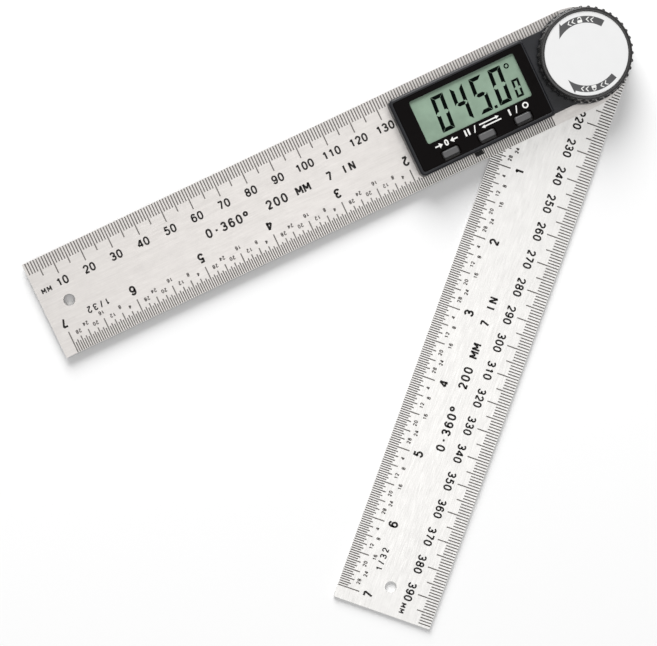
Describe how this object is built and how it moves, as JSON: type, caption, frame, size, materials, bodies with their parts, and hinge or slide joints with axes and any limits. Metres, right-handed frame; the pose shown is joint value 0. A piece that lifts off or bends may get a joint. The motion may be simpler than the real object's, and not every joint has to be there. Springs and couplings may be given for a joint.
{
  "type": "digital angle ruler",
  "caption": "Digital angle ruler: two steel ruler blades on a pivot, with a display housing, push buttons, battery drawer and a ribbed lock knob.",
  "frame": {"origin": "on the pivot axis, on the underside of the lower blade", "axes": "+Z out of the readable face, along the pivot axis; the upper blade runs along -X, its millimetre edge towards +Y"},
  "size_m": [0.2164, 0.171, 0.0138],
  "materials": {
    "blade_steel": "fine-grained satin stainless steel",
    "fitting_steel": "turned and zinc-plated steel",
    "housing_plastic": "fine spark-eroded texture",
    "knob_plastic": "satin moulded plastic",
    "panel_gloss": "back-printed gloss acrylic",
    "clear_lens": "clear acrylic",
    "display_green": "liquid-crystal glass with grey-green reflector",
    "button_plastic": "translucent dark grey, rounded",
    "tray_plastic": "black moulded plastic",
    "cap_white": "printed white disc",
    "shim_nylon": "natural nylon",
    "board_laminate": "green solder mask",
    "chip_epoxy": "moulded epoxy",
    "flex_film": "polyimide film",
    "strip_rubber": "conductive silicone strip",
    "brass": "machined brass",
    "coin_steel": "nickel-plated steel can"
  },
  "bodies": {
    "display_arm": {"upper_blade": "blade_steel", "housing_base": "housing_plastic", "housing_cover": "housing_plastic", "housing_screws": "fitting_steel", "front_panel": "panel_gloss", "display_window": "clear_lens", "lcd_module": "display_green", "zebra_strips": "strip_rubber", "circuit_board": "board_laminate", "controller_chip": "chip_epoxy", "switch_domes": "fitting_steel", "contact_plus": "fitting_steel", "contact_minus": "fitting_steel", "encoder_stator": "board_laminate", "encoder_flex": "flex_film", "shaft_bush": "brass"},
    "swing_arm": {"lower_blade": "blade_steel", "friction_shim": "shim_nylon", "pivot_hub": "fitting_steel", "hub_screws": "fitting_steel", "encoder_rotor": "board_laminate"},
    "knob_thrust": {"thrust_washer": "fitting_steel"},
    "lock_knob": {"knob_body": "knob_plastic", "knob_cap": "cap_white", "knob_nut": "brass"},
    "zero_key": {"zero_button": "button_plastic"},
    "hold_key": {"hold_button": "button_plastic"},
    "power_key": {"power_button": "button_plastic"},
    "battery_drawer": {"battery_tray": "tray_plastic", "coin_cell": "coin_steel"}
  },
  "joints": [
    {"name": "arm_swing", "type": "hinge", "parent": "display_arm", "child": "swing_arm", "pos_m": [0, 0, 0.0012], "axis": [0, 0, 1], "continuous": true},
    {"name": "knob_lift", "type": "slide", "parent": "swing_arm", "child": "knob_thrust", "axis": [0, 0, 1], "range_m": [0, 0.00075]},
    {"name": "knob_turn", "type": "hinge", "parent": "knob_thrust", "child": "lock_knob", "pos_m": [0, 0, 0.0085], "axis": [0, 0, 1], "range_deg": [0, 270]},
    {"name": "zero_press", "type": "slide", "parent": "display_arm", "child": "zero_key", "axis": [0, 0, -1], "range_m": [0, 0.0004], "stiffness_N_per_m": 1500},
    {"name": "hold_press", "type": "slide", "parent": "display_arm", "child": "hold_key", "axis": [0, 0, -1], "range_m": [0, 0.0004], "stiffness_N_per_m": 1500},
    {"name": "power_press", "type": "slide", "parent": "display_arm", "child": "power_key", "axis": [0, 0, -1], "range_m": [0, 0.0004], "stiffness_N_per_m": 1500},
    {"name": "tray_slide", "type": "slide", "parent": "display_arm", "child": "battery_drawer", "axis": [0, -1, 0], "range_m": [0, 0.024]}
  ],
  "couplings": [
    {"joint": "knob_turn", "follows": "knob_lift", "rad_per_m": 6283.2}
  ]
}
